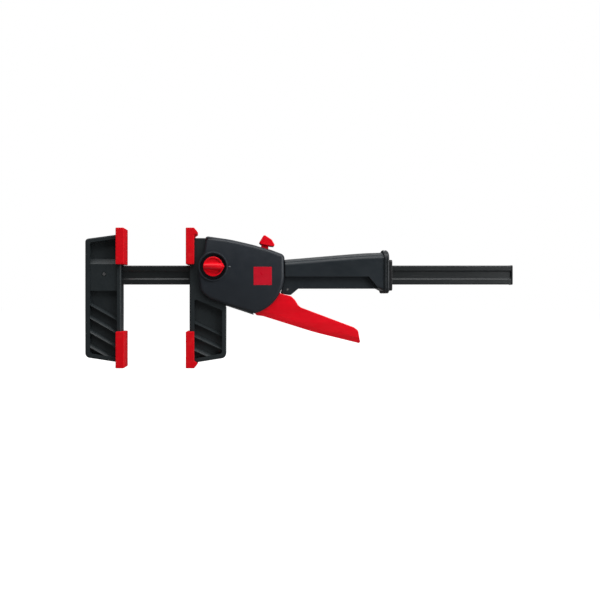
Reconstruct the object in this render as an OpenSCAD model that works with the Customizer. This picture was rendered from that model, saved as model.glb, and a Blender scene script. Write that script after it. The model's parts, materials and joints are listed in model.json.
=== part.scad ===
// One-hand trigger-action bar clamp that can also spread.
// X runs along the rail from the fixed jaw to the handle, Z points up and Y goes to the rear.
// The origin is the centre of the fixed lower pad's clamping face.

/* [Opening] */
// Gap between the two pairs of pads
opening = 62.7; // [30:0.1:150]

/* [Rail] */
// Rail section height
rail_h = 19.5; // [19:0.1:19.6]
// Rail section width
rail_w = 9.5; // [9:0.1:9.6]
// Rail wall thickness
rail_wall = 1.6; // [1:0.1:1.8]
// Depth of the groove along each side of the rail
groove_depth = 1.4; // [0.6:0.1:1.5]
// Free end of the rail, measured from the fixed pads
rail_end = 395.8; // [360:0.2:460]

/* [Jaws] */
// Distance from the rail's axis to the middle of the lower pads
throat = 76.3; // [76:0.1:79]
// Width of both jaws
jaw_w = 22; // [20:0.5:22]
// Width of the pads
pad_w = 30; // [26:0.5:32]
// Thickness of the pads in front of the jaws
pad_face = 3.5; // [3:0.1:4]
// Length of each pad
pad_len = 37.2; // [34:0.2:40]
// Slope of the stiffening ribs, in degrees
rib_slope = 29.5; // [20:0.5:32]

/* [Housing] */
// Overall width of the housing
housing_w = 36; // [35:0.5:38]
// Wall thickness of the housing
wall = 2.5; // [2:0.1:2.8]
// Radius of the housing's round rear edge
round_r = 42.7; // [42:0.1:43]
// Crown radius of the housing's two faces
crown_r = 200; // [180:10:260]
// Radius of the recess around the selector knob
knob_recess_r = 13.4; // [12.5:0.1:13.6]
// Radius of the selector knob
knob_r = 10; // [9:0.1:10.5]

/* [Handle and lever] */
// Rear end of the handle, measured from the lever's pivot
handle_end = 142.5; // [138:0.5:150]
// Width across the handle's recess for the lever
handle_core_w = 18.6; // [18:0.1:18.8]
// Width of the lever
lever_w = 24; // [23:0.5:24.5]
// Thickness of the lever's cheeks
cheek = 2.4; // [2:0.1:2.5]

/* [Hidden] */

$fn = 48;
running = 0.05;          // radial clearance of a shaft in its bore
gap = 0.3;               // clearance between pieces that slide past each other
rail_start = -33;        // hidden end of the rail inside the fixed jaw
pivot_x = 58.3;          // lever pivot, from the moving pads
cap_t = 1.6;
jaw_front = -pivot_x + pad_face + 0.1;      // moving jaw's front face, from the pivot
chassis_rear = -15.3;                       // rear face of the moving jaw inside the housing
upper_pad_z = 10.6;                         // inner end of the upper pads
lower_pad_z = -throat + pad_len / 2;        // inner end of the lower pads
jaw_pin_at = [-20.8, 0.8];
pad_t = 8.5;
half_jaw = jaw_w / 2;
half_pad = pad_w / 2;
half_housing = housing_w / 2;
core = handle_core_w / 2;
guide_y = 7.5;           // half width and half height of the guides' bodies
guide_z = 12.3;
window_y = rail_w / 2 + gap;
window_z = rail_h / 2 + gap;
pin_z = 13;              // height of the drive pins above and below the pivot
pin_r = 2;
pivot_r = 3;
knob_at = [-30.5, 8.2];
knob_floor = 13.5;       // depth of the knob recess' floor, from the middle plane
cam_throw = 3;
label_at = [19.6, -1.3];
label_size = 18.4;
handle_pin_at = [45.4, -14.9];
brake_hinge = [19.5, -20];
brake_lean = 4;          // degrees that the brake plates lean when they grip
cover_screw_at = [[-30, 29.5], [5, 24.6], [34.2, 15.8], [-7, -26.5], [-30, -15]];
handle_screw_at = [[62, 12.9], [96, 14], [130, 15]];
screw_r = 1.5;
screw_tip = 3.6 - half_housing;

// ---- Outline helpers: an outline is a list of [x, z, corner radius], anticlockwise ----

function unit(v) = v / norm(v);

function corner_arc(a, b, c, r, n) =
    r == 0 ? [b] :
    let (u = unit(a - b), v = unit(c - b),
         half = acos(u * v) / 2,
         middle = b + unit(u + v) * (r / sin(half)),
         start = b + u * (r / tan(half)) - middle,
         side = u[0] * v[1] - u[1] * v[0] > 0 ? -1 : 1)
    [for (i = [0 : n])
        let (t = side * (180 - 2 * half) * i / n)
        middle + [start[0] * cos(t) - start[1] * sin(t), start[0] * sin(t) + start[1] * cos(t)]];

// Turns an outline's corners into arcs of n steps
function rounded(pts, n = 5) =
    [for (i = [0 : len(pts) - 1])
        let (a = pts[(i + len(pts) - 1) % len(pts)], b = pts[i], c = pts[(i + 1) % len(pts)])
        each corner_arc([a[0], a[1]], [b[0], b[1]], [c[0], c[1]], b[2], n)];

// Moves an outline's edges inwards by d
function inset(pts, d) =
    [for (i = [0 : len(pts) - 1])
        let (a = pts[(i + len(pts) - 1) % len(pts)], b = pts[i], c = pts[(i + 1) % len(pts)],
             e = unit([b[0] - a[0], b[1] - a[1]]), f = unit([c[0] - b[0], c[1] - b[1]]),
             m = [-e[1] - f[1], e[0] + f[0]] / (1 + e * f),
             grow = e[0] * f[1] - e[1] * f[0] < 0 ? d : -d)
        [b[0] + d * m[0], b[1] + d * m[1], b[2] == 0 ? 0 : max(b[2] + grow, 0.3)]];

function box_outline(x0, z0, x1, z1, r) = [[x0, z0, r], [x1, z0, r], [x1, z1, r], [x0, z1, r]];

// Prism across the width, from an outline in X and Z
module slab(pts, y0, y1) {
    translate([0, y1, 0]) rotate([90, 0, 0]) linear_extrude(y1 - y0) polygon(pts);
}

// Prism along the rail, from an outline in Y and Z
module bar(pts, x0, x1) {
    translate([x0, 0, 0]) rotate([90, 0, 90]) linear_extrude(x1 - x0) polygon(pts);
}

module block(low, high) {
    translate(low) cube(high - low);
}

// Cylinder across the width, at [x, z]
module cross_pin(at, r, y0, y1) {
    translate([at[0], y1, at[1]]) rotate([90, 0, 0]) cylinder(r = r, h = y1 - y0);
}

// Closed skin through equal rings of points
module loft(rings) {
    n = len(rings[0]);
    last = len(rings) - 1;
    polyhedron(
        points = [for (ring = rings) each ring],
        faces = concat(
            [[for (i = [0 : n - 1]) i], [for (i = [n - 1 : -1 : 0]) last * n + i]],
            [for (k = [0 : last - 1], i = [0 : n - 1])
                let (j = (i + 1) % n)
                each [[k * n + i, k * n + n + i, k * n + n + j], [k * n + i, k * n + n + j, k * n + j]]]));
}

// Coil spring along X from x0 to x1, centred on [y, z]
module coil(x0, x1, y, z, r, wire_r, turns) {
    steps = turns * 14;
    sides = 8;
    loft([for (k = [0 : steps])
        let (a = 360 * turns * k / steps, x = x0 + wire_r + (x1 - x0 - 2 * wire_r) * k / steps)
        [for (s = [0 : sides - 1])
            let (b = -360 * s / sides, q = r + wire_r * cos(b))
            [x + wire_r * sin(b), y + q * cos(a), z + q * sin(a)]]]);
}

// The fixed assembly's frame: X from the fixed pads, Z from the rail's axis
module at_rail() {
    translate([0, 0, throat]) children();
}

// The carriage's frame: X from the lever's pivot, Z from the rail's axis
module at_pivot() {
    translate([opening + pivot_x, 0, throat]) children();
}

// ---- Rail and fixed jaw ----

module rail() {
    y = rail_w / 2;
    z = rail_h / 2;
    r = 1.2;
    groove_z = 3.2;
    slant = 1.5;
    half = [[y, -z, r], [y, -groove_z - slant, 0], [y - groove_depth, -groove_z, 0],
        [y - groove_depth, groove_z, 0], [y, groove_z + slant, 0], [y, z, r]];
    section = concat(half, [for (i = [5 : -1 : 0]) [-half[i][0], half[i][1], half[i][2]]]);
    inner_y = y - groove_depth - rail_wall;
    color([0.10, 0.10, 0.11]) at_rail() difference() {
        bar(rounded(section), rail_start, rail_end);
        bar(rounded(box_outline(-inner_y, -z + rail_wall, inner_y, z - rail_wall, 0.6)),
            rail_start - 1, rail_end + 1);
        cross_pin(jaw_pin_at, 1.6, -10, 10);
    }
}

module rail_end_cap() {
    plug_y = rail_w / 2 - groove_depth - rail_wall - gap;
    plug_z = rail_h / 2 - rail_wall - gap;
    color([0.05, 0.05, 0.05]) at_rail() {
        bar(rounded(box_outline(-rail_w / 2 - 0.3, -rail_h / 2 - 0.3, rail_w / 2 + 0.3, rail_h / 2 + 0.3, 1.6)),
            rail_end, rail_end + cap_t);
        block([rail_end - 7, -plug_y, -plug_z], [rail_end, plug_y, plug_z]);
    }
}

fixed_back = -40;
fixed_outline = [[-pad_face, -89.5, 0.4], [-pad_face, 41.6, 0.4], [fixed_back, 36.6, 3.5], [fixed_back, -84, 5]];

// A sloping louvre on both faces of a jaw's web; its face tips up and outwards
module rib(from, slope, height, web_y, face_y) {
    translate([from[0], 0, from[1]]) rotate([0, slope, 0]) for (side = [-1, 1])
        bar([[side * (web_y - 0.5), 1], [side * face_y, -height], [side * (web_y - 0.5), -height]], -6, 46);
}

// Ribs cut off at the edge of the recess that holds them
module ribs(recess, starts, heights, slope, web_y, face_y) {
    intersection() {
        for (i = [0 : len(starts) - 1]) rib(starts[i], slope, heights[i], web_y, face_y);
        slab(recess, -half_jaw, half_jaw);
    }
}

module fixed_jaw() {
    web_y = 5;
    boss_y = 9.6;
    left = fixed_back + 4.7;
    right = -7.5;
    recess = rounded([[right, -84.6, 1.5], [right, 36.8, 1.5], [left, 33, 2.5], [left, -80, 3]]);
    starts = [[left, -28.1], [left, -41], [left, -55.3], [left, -70]];
    heights = [4.6, 5.8, 6.2, 6.6];
    color([0.07, 0.08, 0.09]) at_rail() difference() {
        union() {
            slab(rounded(fixed_outline), -web_y, web_y);
            difference() {
                slab(rounded(fixed_outline), -half_jaw, half_jaw);
                slab(recess, -half_jaw - 1, half_jaw + 1);
            }
            bar([[boss_y, -16.2], [boss_y, 11], [web_y, 17.5], [-web_y, 17.5], [-boss_y, 11],
                [-boss_y, -16.2]], left - 0.5, right + 0.5);
            ribs(recess, starts, heights, rib_slope, web_y, 9.4);
        }
        block([rail_start, -rail_w / 2 - running, -rail_h / 2 - running],
            [0, rail_w / 2 + running, rail_h / 2 + running]);
        cross_pin(jaw_pin_at, 1.6, -20, 20);
    }
}

module fixed_jaw_pin() {
    color([0.75, 0.75, 0.76]) at_rail() cross_pin(jaw_pin_at, 1.6, -9.9, 9.9);
}

// Pad with a pocket for the jaw behind it
module fixed_pad(z0, z1) {
    difference() {
        slab(rounded(box_outline(-pad_t, z0, 0, z1, 0.5), 2), -half_pad, half_pad);
        slab(rounded(fixed_outline), -half_jaw, half_jaw);
    }
}

module fixed_upper_pad() {
    color([0.80, 0.02, 0.03]) at_rail() fixed_pad(upper_pad_z, upper_pad_z + pad_len);
}

module fixed_lower_pad() {
    color([0.80, 0.02, 0.03]) at_rail() fixed_pad(lower_pad_z - pad_len, lower_pad_z);
}

// ---- Moving jaw, pads and guides ----

jaw_outline = [[chassis_rear, 30, 1], [-36, 35.3, 0], [-38, 37.5, 0], [jaw_front, 37.5, 0.6],
    [jaw_front, -90.3, 0.4], [-17.4, -84.4, 5], [-17.4, -33, 0], [-17.8, -32.4, 0], [-17.8, -28.6, 0],
    [chassis_rear, -28, 0.5]];

module moving_jaw() {
    web_y = 5;
    left = jaw_front + 5;
    right = -21.5;
    recess = rounded([[left, -85.3, 1], [right, -80.2, 2.5], [right, -36, 1.5], [left, -24.5, 1.5]]);
    starts = [[left, -47], [left, -60], [left, -73.3]];
    heights = [3.4, 4.8, 5.6];
    color([0.07, 0.08, 0.09]) at_pivot() difference() {
        union() {
            slab(rounded(jaw_outline), -web_y - 0.8, web_y + 0.8);
            difference() {
                slab(rounded(jaw_outline), -half_jaw, half_jaw);
                slab(recess, -half_jaw - 1, half_jaw + 1);
            }
            ribs(recess, starts, heights, 25, web_y, 9.4);
        }
        block([jaw_front - 1, -window_y - 0.2, -window_z - 0.2],
            [chassis_rear + 1, window_y + 0.2, window_z + 0.2]);
        block([jaw_front, -guide_y, -guide_z], [jaw_front + 12, guide_y, guide_z]);
        block([knob_at[0] - 11.5, -half_jaw - 1, knob_at[1] - 5.3], [knob_at[0] + 11.5, -6.5, knob_at[1] + 5.3]);
        for (at = [cover_screw_at[0], cover_screw_at[4]]) cross_pin(at, screw_r + 0.1, -20, 20);
    }
}

module front_rail_guide() {
    color([0.16, 0.16, 0.17]) at_pivot() difference() {
        block([jaw_front, -guide_y, -guide_z], [jaw_front + 12, guide_y, guide_z]);
        block([jaw_front - 1, -window_y, -window_z], [jaw_front + 13, window_y, window_z]);
    }
}

// Side view of a moving pad; up is 1 for the upper pad and -1 for the lower one
module moving_pad(z_in, up) {
    front = -pivot_x;
    lip = front + 11;
    z_out = z_in + up * pad_len;
    side = [[front, z_in, 0.5], [front + pad_t, z_in, 0.5], [front + pad_t, z_out - up * 7.6, 0],
        [lip, z_out - up * 5.8, 0.5], [lip, z_out - up * 3, 0.5], [lip - 2.7, z_out, 0.5], [front, z_out, 0.5]];
    difference() {
        slab(rounded(up > 0 ? side : [for (i = [6 : -1 : 0]) side[i]], 2), -half_pad, half_pad);
        slab(rounded(jaw_outline), -half_jaw, half_jaw);
    }
}

module moving_upper_pad() {
    color([0.80, 0.02, 0.03]) at_pivot() moving_pad(upper_pad_z, 1);
}

module moving_lower_pad() {
    color([0.80, 0.02, 0.03]) at_pivot() moving_pad(lower_pad_z, -1);
}

module middle_guide() {
    x0 = 12;
    x1 = 15;
    color([0.55, 0.56, 0.58]) at_pivot() difference() {
        union() {
            block([x0, -9, -24.5], [x1, 9, 12.5]);
            block([x0, 1 - half_housing + wall, 12.4], [x1, half_housing - wall - 1, 20]);
            block([x0, -9, -24.5], [24, 9, -21.6]);
        }
        block([x0 - 1, -window_y, -window_z], [x1 + 1, window_y, window_z]);
    }
}

// ---- Housing ----

tip_angle = -74.6;
cover_outline = concat(
    [[42.6, 20.8, 5.5], [26.1, 27, 120], [8.1, 31.7, 150], [-12.9, 36.6, 150], [-38.9, 40.3, 3],
        [-41.2, 22, 10], [-46.2, 12, 14], [-46.4, -4, 25], [-44.2, -18, 9], [-34.9, -25.5, 14],
        [-18.1, -31.4, 60], [round_r * cos(tip_angle), round_r * sin(tip_angle), 0.6]],
    [for (a = [-67 : 6 : 5]) [round_r * cos(a), round_r * sin(a), 0]]);

// The housing's faces are crowned from top to bottom, in narrow flats
module crown_body(r) {
    bar(concat([for (z = [-46 : 4 : 46]) [crown_r - half_housing - sqrt(r * r - z * z), z]],
        [[2, 46], [2, -46]]), -60, 60);
}

// One half of the housing, on the -Y side, before its own fittings
module cover_shell() {
    deep = wall - half_housing;
    difference() {
        intersection() {
            union() {
                difference() {
                    slab(rounded(cover_outline), -half_housing - 1, 0);
                    intersection() {
                        slab(rounded(inset(cover_outline, wall)), -half_housing, 1);
                        crown_body(crown_r - wall);
                    }
                }
                for (i = [1 : 3]) cross_pin(cover_screw_at[i], 3.3, deep - 1, 0);
                for (i = [0, 4]) cross_pin(cover_screw_at[i], 3.3, deep - 1, -half_jaw);
                cross_pin([0, 0], 6, deep - 1, -lever_w / 2 - 0.4);
            }
            crown_body(crown_r);
        }
        slab(rounded(jaw_outline), -half_jaw, half_jaw);
        block([30, -core + 0.3, -16], [50, core - 0.3, 12]);
        slab([[0, -1.3], [15.9, -60], [60, -60], [60, -1.3]], -lever_w / 2 - 0.6, 1);
        block([14.4, -5.4, 20], [26.4, 5.4, 45]);
        cross_pin([0, 0], pivot_r + running, -half_housing + 1.2, 0);
    }
}

module front_cover() {
    half_label = label_size / 2;
    color([0.13, 0.14, 0.17]) at_pivot() difference() {
        union() {
            cover_shell();
            intersection() {
                cross_pin(knob_at, knob_recess_r + 1.5, -half_housing, 1.9 - knob_floor);
                slab(rounded(inset(cover_outline, -1.2)), -half_housing, 0);
            }
        }
        cross_pin(knob_at, knob_recess_r, -half_housing - 1, -knob_floor);
        cross_pin(knob_at, pivot_r + running, -half_housing, -half_jaw);
        block([label_at[0] - half_label, -half_housing - 1, label_at[1] - half_label],
            [label_at[0] + half_label, 0.6 - half_housing, label_at[1] + half_label]);
        for (at = cover_screw_at) cross_pin(at, screw_r, screw_tip, 1);
    }
}

module rear_cover() {
    color([0.13, 0.14, 0.17]) at_pivot() difference() {
        mirror([0, 1, 0]) cover_shell();
        for (at = cover_screw_at) {
            cross_pin(at, screw_r, -1, half_housing + 1);
            cross_pin(at, 2.9, half_housing - 4.6, half_housing + 1);
        }
    }
}

// Cross-head screw that enters from the rear, with its head's top at y_head
module screw(at, y_tip, y_head, head_r) {
    difference() {
        union() {
            cross_pin(at, screw_r, y_tip, y_head - 1);
            cross_pin(at, head_r, y_head - 1.6, y_head);
        }
        for (turn = [0, 90]) translate([at[0], y_head, at[1]]) rotate([0, turn, 0])
            cube([0.6, 1.4, head_r * 1.3], center = true);
    }
}

module cover_screws() {
    color([0.35, 0.35, 0.37]) at_pivot() for (at = cover_screw_at)
        screw(at, screw_tip + 0.3, half_housing - 3, 2.8);
}

module label_plate() {
    half = label_size / 2;
    color([0.85, 0.02, 0.03]) at_pivot() intersection() {
        block([label_at[0] - half, -half_housing - 1, label_at[1] - half],
            [label_at[0] + half, 0.6 - half_housing, label_at[1] + half]);
        crown_body(crown_r + 0.1);
    }
}

module lever_pivot_pins() {
    color([0.6, 0.6, 0.62]) at_pivot() for (side = [0, 1]) mirror([0, side, 0])
        cross_pin([0, 0], pivot_r, -half_housing + 1.2, cheek - lever_w / 2 + 0.1);
}

// ---- Handle ----

// [x, half width, top, bottom] along the handle
handle_stations = [[36, 12.8, 16.5, -14], [59, 13.2, 18.3, -14], [90.5, 13.6, 20.9, -14],
    [122, 14, 23.3, -14], [137.9, 14.2, 23.9, -14], [handle_end, 14.2, 24.1, -16.4]];

module handle_body() {
    difference() {
        union() {
            difference() {
                loft([for (s = handle_stations) [for (p = rounded(
                    [[s[1], s[3], 3], [s[1], s[2] - 5, 7], [0, s[2], 16], [-s[1], s[2] - 5, 7],
                        [-s[1], s[3], 3]])) [s[0], p[0], p[1]]]]);
                for (side = [-1, 1]) translate([0, side * (core + 10), 0])
                    slab([[30, -30], [137.9, -30], [137.9, -14.5], [127.4, -1.8], [30, -1.8]], -10, 10);
            }
            slab([[38, -10], [39, -19.1], [48.5, -20.6], [56.4, -13.9], [60, -10]], -core, core);
        }
        slab(rounded(inset(cover_outline, -0.05)), -20, 20);
        block([30, 2 - core, -11.4], [handle_end + 1, core - 2, 10.4]);
    }
    difference() {
        block([34, 0.3 - core, -15], [43, core - 0.3, 12]);
        block([33, -window_y - 0.3, -window_z - 0.3], [44, window_y + 0.3, window_z + 0.3]);
    }
}

module handle_front_shell() {
    color([0.17, 0.18, 0.20]) at_pivot() difference() {
        intersection() {
            handle_body();
            block([0, -30, -40], [200, 0, 40]);
        }
        for (at = handle_screw_at) cross_pin(at, screw_r, -8, 1);
        cross_pin(handle_pin_at, 1.2, -20, 20);
        block([handle_end - 5, -guide_y, -guide_z], [handle_end + 1, guide_y, guide_z]);
    }
}

module handle_rear_shell() {
    color([0.17, 0.18, 0.20]) at_pivot() difference() {
        intersection() {
            handle_body();
            block([0, 0, -40], [200, 30, 40]);
        }
        for (at = handle_screw_at) {
            cross_pin(at, screw_r, -1, 20);
            cross_pin(at, 2.3, 7, 20);
        }
        cross_pin(handle_pin_at, 1.2, -20, 20);
        block([handle_end - 5, -guide_y, -guide_z], [handle_end + 1, guide_y, guide_z]);
    }
}

module handle_screws() {
    color([0.35, 0.35, 0.37]) at_pivot() for (at = handle_screw_at) screw(at, -7.5, 8.6, 2.2);
}

module handle_pin() {
    color([0.75, 0.75, 0.76]) at_pivot() cross_pin(handle_pin_at, 1.2, 0.1 - core, core - 0.1);
}

module handle_collar() {
    outline = [[15.5, -18.9, 5], [15.5, 22, 9], [0, 26.4, 20], [-15.5, 22, 9], [-15.5, -18.9, 5]];
    steps = [[0, 0.9], [1, 0], [4.4, 0], [5.6, 1.3]];
    color([0.12, 0.13, 0.14]) at_pivot() difference() {
        loft([for (s = steps) [for (p = rounded(inset(outline, s[1]))) [handle_end + s[0], p[0], p[1]]]]);
        block([handle_end - 1, -guide_y, -guide_z], [handle_end + 8, guide_y, guide_z]);
    }
}

module rail_guide_bush() {
    face = handle_end + 5.6;
    color([0.10, 0.10, 0.11]) at_pivot() difference() {
        union() {
            bar(rounded(box_outline(-9, -16.1, 9, 15.4, 2.5)), face, face + 4.1);
            block([handle_end - 5, -guide_y, -guide_z], [face, guide_y, guide_z]);
        }
        block([handle_end - 6, -window_y, -window_z], [face + 5, window_y, window_z]);
    }
}

// ---- Lever and drive ----

lever_outline = [[5.2, 18.4, 5], [-5.2, 18.4, 5], [-8.5, 0, 12], [-5.2, -18.4, 6], [13.6, -41.2, 1],
    [20.2, -42, 8], [72, -58.3, 300], [119.2, -69.9, 1.5], [116.9, -56.6, 4], [112.7, -53.4, 5], [57, -32.5, 9],
    [52.4, -25.2, 7], [48.5, -21.6, 4], [38.6, -19.2, 0.6], [9.5, 3, 8]];

// What is hollow between the lever's cheeks, above its bottom web
lever_channel = [[-30, 60], [-30, -60], [15.5, -60], [15.5, -37.4], [21, -39.2], [72, -55.4],
    [130, -69.7], [130, 60]];

module lever() {
    half = lever_w / 2;
    color([0.82, 0.02, 0.03]) at_pivot() difference() {
        slab(rounded(lever_outline), -half, half);
        slab(lever_channel, cheek - half, half - cheek);
        cross_pin([0, 0], pivot_r + running, -20, 20);
        for (side = [-1, 1]) cross_pin([0, side * pin_z], pin_r, -20, 20);
    }
}

module lever_drive_pins() {
    color([0.6, 0.6, 0.62]) at_pivot() for (side = [-1, 1])
        cross_pin([0, side * pin_z], pin_r, -lever_w / 2 + 0.2, lever_w / 2 - 0.2);
}

// Hardened plate with a window for the rail
module window_plate(x0, x1, z0, z1, half_window) {
    difference() {
        block([x0, -9, z0], [x1, 9, z1]);
        block([x0 - 1, -window_y, -half_window], [x1 + 1, window_y, half_window]);
    }
}

module clamp_drive_plate() {
    color([0.45, 0.46, 0.48]) at_pivot() window_plate(pin_r + 0.1, pin_r + 2.6, -17, 17, window_z);
}

module spread_drive_plate() {
    color([0.45, 0.46, 0.48]) at_pivot() window_plate(-pin_r - 2.6, -pin_r - 0.1, -17, 17, window_z);
}

module clamp_plate_spring() {
    color([0.7, 0.7, 0.72]) at_pivot() coil(pin_r + 2.7, 11.9, 0, -14, 2.2, 0.4, 4);
}

module spread_plate_spring() {
    color([0.7, 0.7, 0.72]) at_pivot() coil(chassis_rear + 0.1, -pin_r - 2.7, 0, 14, 2.2, 0.4, 5);
}

module brake_spring() {
    color([0.7, 0.7, 0.72]) at_pivot() coil(15.1, 18.9, 0, 15, 2.2, 0.4, 3);
}

// ---- Brake and release button ----

// Upright window plates about their hinge, leaning as they do when they grip
module brake_stack(plates) {
    translate([brake_hinge[0], 0, brake_hinge[1]]) rotate([0, brake_lean, 0])
        for (p = plates) difference() {
            block([p[0], -9, -1], [p[1], 9, 41]);
            block([p[0] - 1, -window_y, 9.5], [p[1] + 1, window_y, 30.5]);
        }
}

module brake_plates() {
    color([0.45, 0.46, 0.48]) at_pivot() brake_stack([[-2.5, -0.1], [0.1, 2.5]]);
}

module release_button() {
    head = [[17.9, 31.3, 0.6], [27, 29.5, 0.6], [31.3, 29, 0.9], [32.2, 31, 1], [29.2, 36.2, 2],
        [21.3, 41.4, 1.8], [16.2, 32.9, 1]];
    color([0.82, 0.02, 0.03]) at_pivot() difference() {
        union() {
            slab(rounded(head, 4), -7.5, 7.5);
            block([18.6, -5, 18], [25.8, 5, 32]);
        }
        brake_stack([[-2.6, 2.6]]);
    }
}

// ---- Clamp and spread selector ----

module selector_knob() {
    tip = 11.6;
    base = [for (a = [18 : 12 : 342]) [knob_at[0] + knob_r * cos(a), knob_at[1] + knob_r * sin(a)]];
    grip = [[knob_at[0] - 9.3, knob_at[1] - 2.9, 1.5], [knob_at[0] + 8, knob_at[1] - 2.9, 1.5],
        [knob_at[0] + tip, knob_at[1], 0.5], [knob_at[0] + 8, knob_at[1] + 2.9, 1.5],
        [knob_at[0] - 9.3, knob_at[1] + 2.9, 1.5]];
    color([0.82, 0.02, 0.03]) at_pivot() difference() {
        union() {
            cross_pin(knob_at, knob_r, -18.4, gap - 0.5 - knob_floor);
            slab(concat(base, [[knob_at[0] + tip, knob_at[1]]]), -18.4, gap - 0.5 - knob_floor);
            slab(rounded(grip, 3), -22.4, -17);
        }
        cross_pin(knob_at, pivot_r, -17, 0);
    }
}

module selector_shaft() {
    color([0.6, 0.6, 0.62]) at_pivot() {
        cross_pin(knob_at, pivot_r, -17, -half_jaw);
        cross_pin(knob_at, 4.4, -half_jaw - 0.3, -8.6);
        cross_pin(knob_at - [cam_throw, 0], 1.2, -8.7, -6.7);
    }
}

module shift_slider() {
    slot_r = 1.9;
    middle = knob_at - [cam_throw, 0];
    color([0.55, 0.56, 0.58]) at_pivot() difference() {
        slab(rounded(box_outline(middle[0] - 8, middle[1] - 5, middle[0] + 8, middle[1] + 5, 1)), -8.3, -6.8);
        slab(rounded(box_outline(middle[0] - slot_r, middle[1] - 4.4, middle[0] + slot_r,
            middle[1] + 4.4, 1.5)), -9, -6);
    }
}

rail();
rail_end_cap();
fixed_jaw();
fixed_jaw_pin();
fixed_upper_pad();
fixed_lower_pad();
moving_jaw();
moving_upper_pad();
moving_lower_pad();
front_cover();
rear_cover();
cover_screws();
handle_front_shell();
handle_rear_shell();
handle_screws();
handle_collar();
rail_guide_bush();
front_rail_guide();
middle_guide();
handle_pin();
lever_pivot_pins();
label_plate();
clamp_plate_spring();
spread_plate_spring();
brake_spring();
lever();
lever_drive_pins();
clamp_drive_plate();
spread_drive_plate();
brake_plates();
release_button();
selector_knob();
selector_shaft();
shift_slider();
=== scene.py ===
"""Looks of a one-hand bar clamp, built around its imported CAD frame."""

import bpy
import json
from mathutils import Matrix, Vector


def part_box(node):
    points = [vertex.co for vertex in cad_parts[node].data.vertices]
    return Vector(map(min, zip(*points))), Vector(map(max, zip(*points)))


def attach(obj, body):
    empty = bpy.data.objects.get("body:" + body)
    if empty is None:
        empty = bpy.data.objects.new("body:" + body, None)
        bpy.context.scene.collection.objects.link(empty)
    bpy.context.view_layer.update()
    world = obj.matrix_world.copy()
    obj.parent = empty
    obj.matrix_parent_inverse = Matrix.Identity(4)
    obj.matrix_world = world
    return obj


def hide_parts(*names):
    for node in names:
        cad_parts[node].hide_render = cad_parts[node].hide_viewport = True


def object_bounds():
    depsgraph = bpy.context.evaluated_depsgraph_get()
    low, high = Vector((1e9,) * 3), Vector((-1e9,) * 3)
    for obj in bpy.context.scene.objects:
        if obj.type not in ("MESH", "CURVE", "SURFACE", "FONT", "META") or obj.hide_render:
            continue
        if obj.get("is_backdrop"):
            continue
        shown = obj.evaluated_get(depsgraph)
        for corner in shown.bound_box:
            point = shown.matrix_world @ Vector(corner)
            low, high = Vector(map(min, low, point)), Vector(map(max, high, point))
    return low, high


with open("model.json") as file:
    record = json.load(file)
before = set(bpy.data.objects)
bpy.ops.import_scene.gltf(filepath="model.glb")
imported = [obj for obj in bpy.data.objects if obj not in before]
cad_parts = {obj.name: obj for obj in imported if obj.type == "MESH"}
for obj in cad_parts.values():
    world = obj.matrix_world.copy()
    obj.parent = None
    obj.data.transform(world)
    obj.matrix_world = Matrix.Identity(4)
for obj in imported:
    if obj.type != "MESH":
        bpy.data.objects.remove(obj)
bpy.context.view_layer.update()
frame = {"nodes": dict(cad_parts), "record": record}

import json
import math

import bmesh
import bpy
from mathutils import Vector

MM = 0.001
JOINTS = {j["name"]: j for j in frame["record"]["behaviour"]["joints"]}
PIVOT = Vector(JOINTS["lever_squeeze"]["pos_m"])       # the lever's pivot, on the rail's axis
RAIL = Vector((0, 0, PIVOT.z))                          # the fixed pads' plane, on the rail's axis
HALF_HOUSING = -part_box("front_cover")[0][1] / MM
HALF_JAW = -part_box("fixed_jaw")[0][1] / MM
HALF_PAD = -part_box("fixed_lower_pad")[0][1] / MM
HALF_LEVER = -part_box("lever")[0][1] / MM


def joint_place(name):
    """(x, z) of a joint, in millimetres from the pivot."""
    x, _, z = JOINTS[name]["pos_m"]
    return (x - PIVOT.x) / MM, (z - PIVOT.z) / MM


KNOB = joint_place("selector_turn")


# ---- Outlines: lists of (x, z, corner radius) in millimetres, anticlockwise ----

def corner_arc(a, b, c, r, steps):
    if r == 0:
        return [(b[0], b[1])]
    u = (Vector(a) - Vector(b)).normalized()
    v = (Vector(c) - Vector(b)).normalized()
    half = math.acos(max(-1, min(1, u.dot(v)))) / 2
    middle = Vector(b) + (u + v).normalized() * (r / math.sin(half))
    start = Vector(b) + u * (r / math.tan(half)) - middle
    side = -1 if u.x * v.y - u.y * v.x > 0 else 1
    out = []
    for i in range(steps + 1):
        t = side * (math.pi - 2 * half) * i / steps
        out.append((middle.x + start.x * math.cos(t) - start.y * math.sin(t),
                    middle.y + start.x * math.sin(t) + start.y * math.cos(t)))
    return out


def rounded(outline, steps=8):
    """The outline's points with each corner turned into an arc."""
    out = []
    for i, b in enumerate(outline):
        a, c = outline[i - 1], outline[(i + 1) % len(outline)]
        out += corner_arc(a[:2], b[:2], c[:2], b[2], steps)
    return out


def inset(outline, d):
    """The outline with its edges moved inwards by d."""
    out = []
    for i, b in enumerate(outline):
        a, c = outline[i - 1], outline[(i + 1) % len(outline)]
        e = (Vector(b[:2]) - Vector(a[:2])).normalized()
        f = (Vector(c[:2]) - Vector(b[:2])).normalized()
        m = Vector((-e.y - f.y, e.x + f.x)) / (1 + e.dot(f))
        grow = d if e.x * f.y - e.y * f.x < 0 else -d
        out.append((b[0] + d * m.x, b[1] + d * m.y, 0 if b[2] == 0 else max(b[2] + grow, 0.2)))
    return out


def rect(x0, z0, x1, z1, r):
    return [(x0, z0, r), (x1, z0, r), (x1, z1, r), (x0, z1, r)]


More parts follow.
